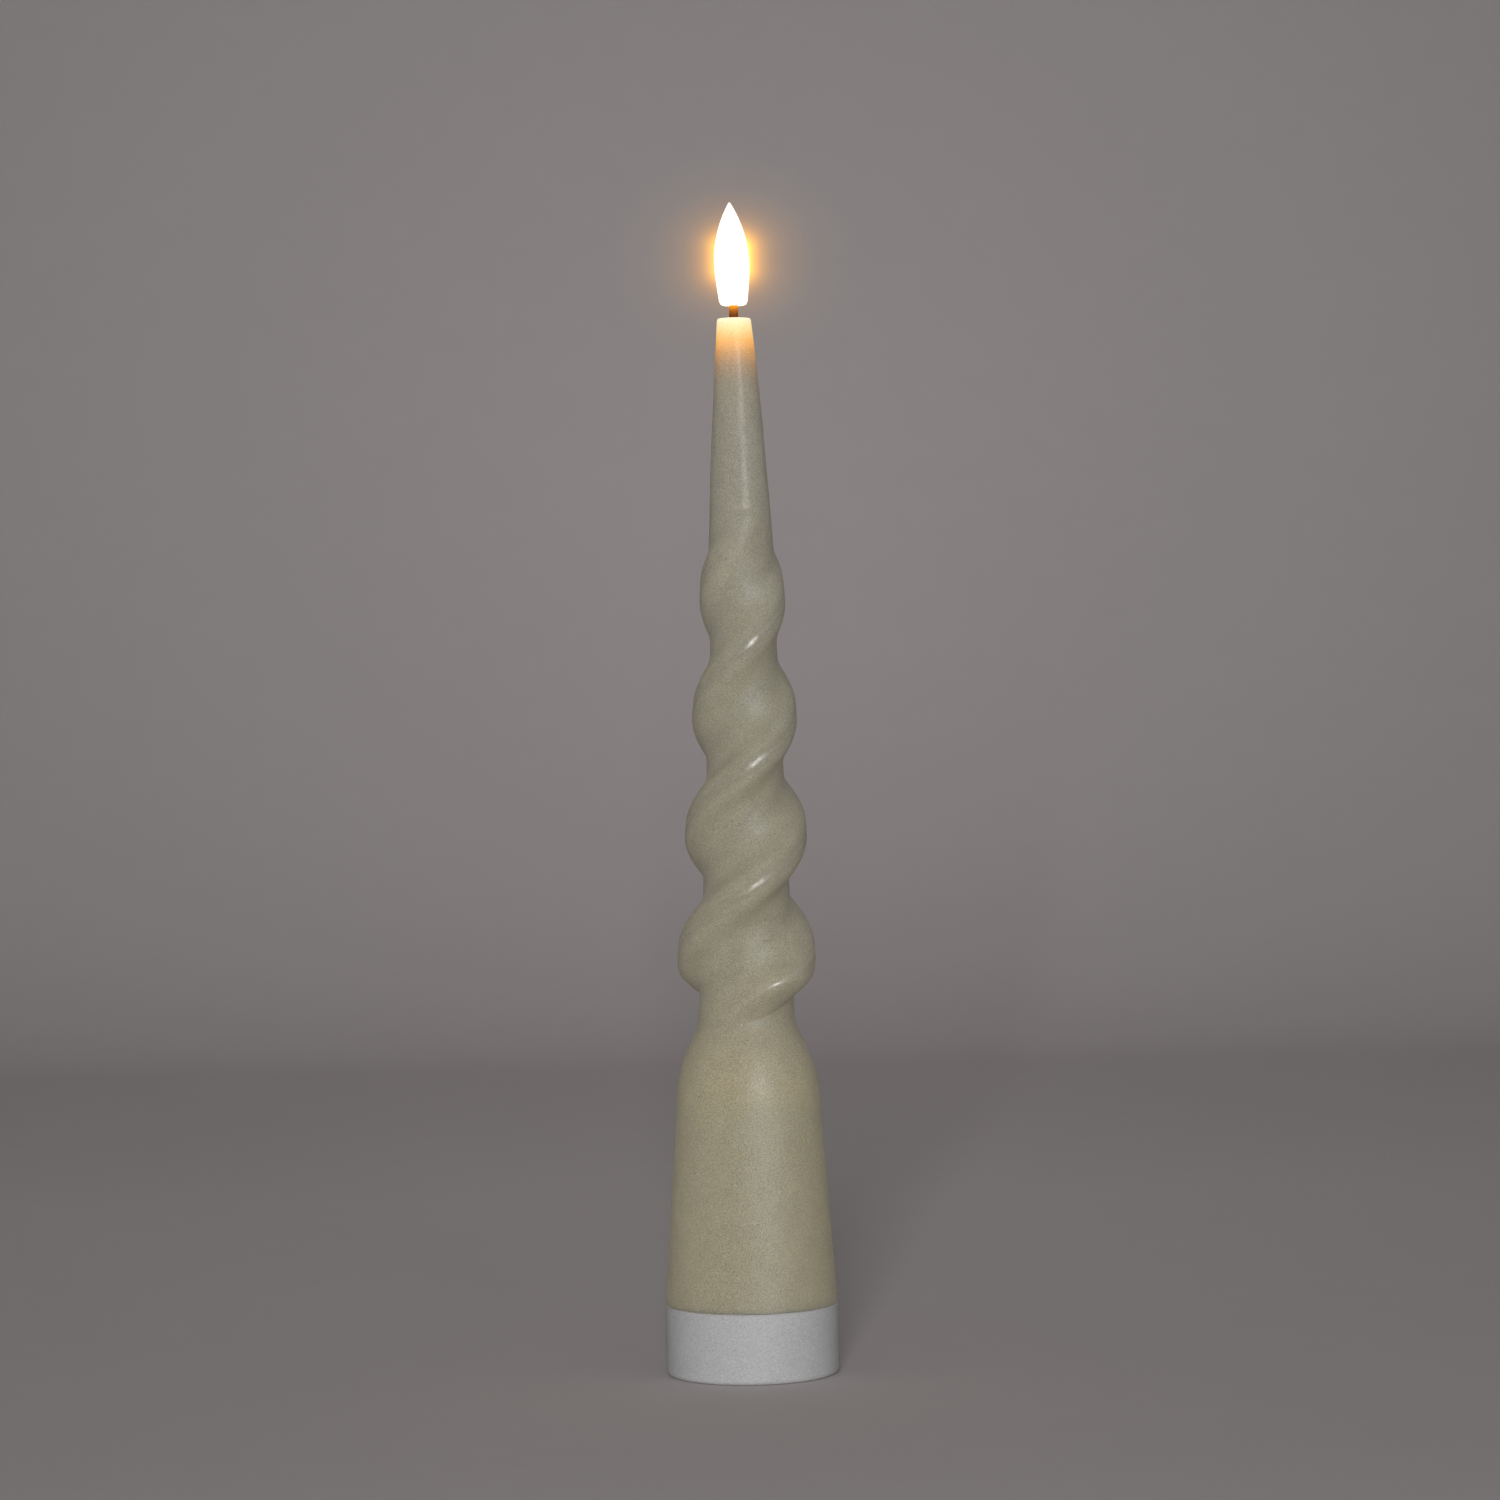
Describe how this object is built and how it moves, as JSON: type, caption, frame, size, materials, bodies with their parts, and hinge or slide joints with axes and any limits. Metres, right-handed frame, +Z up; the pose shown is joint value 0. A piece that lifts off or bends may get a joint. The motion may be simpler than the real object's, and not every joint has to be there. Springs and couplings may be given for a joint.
{
  "type": "led dinner candle",
  "caption": "Battery-powered taper candle with a two-strand twisted wax shell, a flame-shaped light on a wick pin, and a white base cup with a battery door and a slide switch.",
  "frame": {"origin": "centre of the foot ring, on the surface that the candle stands on", "axes": "+Z up along the candle, +X to the right as the picture shows it, -Y towards the camera; the switch lies towards +Y"},
  "size_m": [0.038, 0.038, 0.2567],
  "materials": {
    "wax": "satin",
    "flame": "satin",
    "wick": "matte",
    "lamp": "gloss",
    "red_lead": "satin",
    "black_lead": "satin",
    "inner_plastic": "satin",
    "cell": "satin",
    "contact": "satin",
    "white_plastic": "satin",
    "black_plastic": "satin",
    "board": "satin",
    "chip": "matte",
    "screw": "satin"
  },
  "bodies": {
    "casing": {"wax_shell": "wax", "flame_lens": "flame", "wick_sleeve": "wick", "led_diode": "lamp", "led_lead_positive": "red_lead", "led_lead_negative": "black_lead", "stem_tube": "inner_plastic", "battery_housing": "inner_plastic", "battery_left": "cell", "battery_right": "cell", "positive_contact": "contact", "negative_contact": "contact", "supply_lead_positive": "red_lead", "supply_lead_negative": "black_lead", "base_shell": "white_plastic", "switch_body": "black_plastic", "circuit_board": "board", "timer_chip": "chip", "resistor": "chip", "base_screw_left": "screw", "base_screw_right": "screw", "board_screw_left": "screw", "board_screw_right": "screw"},
    "door": {"battery_door": "white_plastic", "door_contact": "contact"},
    "slider": {"switch_slider": "black_plastic"}
  },
  "joints": [
    {"name": "door_hinge", "type": "hinge", "parent": "casing", "child": "door", "pos_m": [-0.01265, 0, 0.0012], "axis": [0, 1, 0], "range_deg": [0, 75]},
    {"name": "switch_slide", "type": "slide", "parent": "casing", "child": "slider", "axis": [1, 0, 0], "range_m": [0, 0.004]}
  ]
}
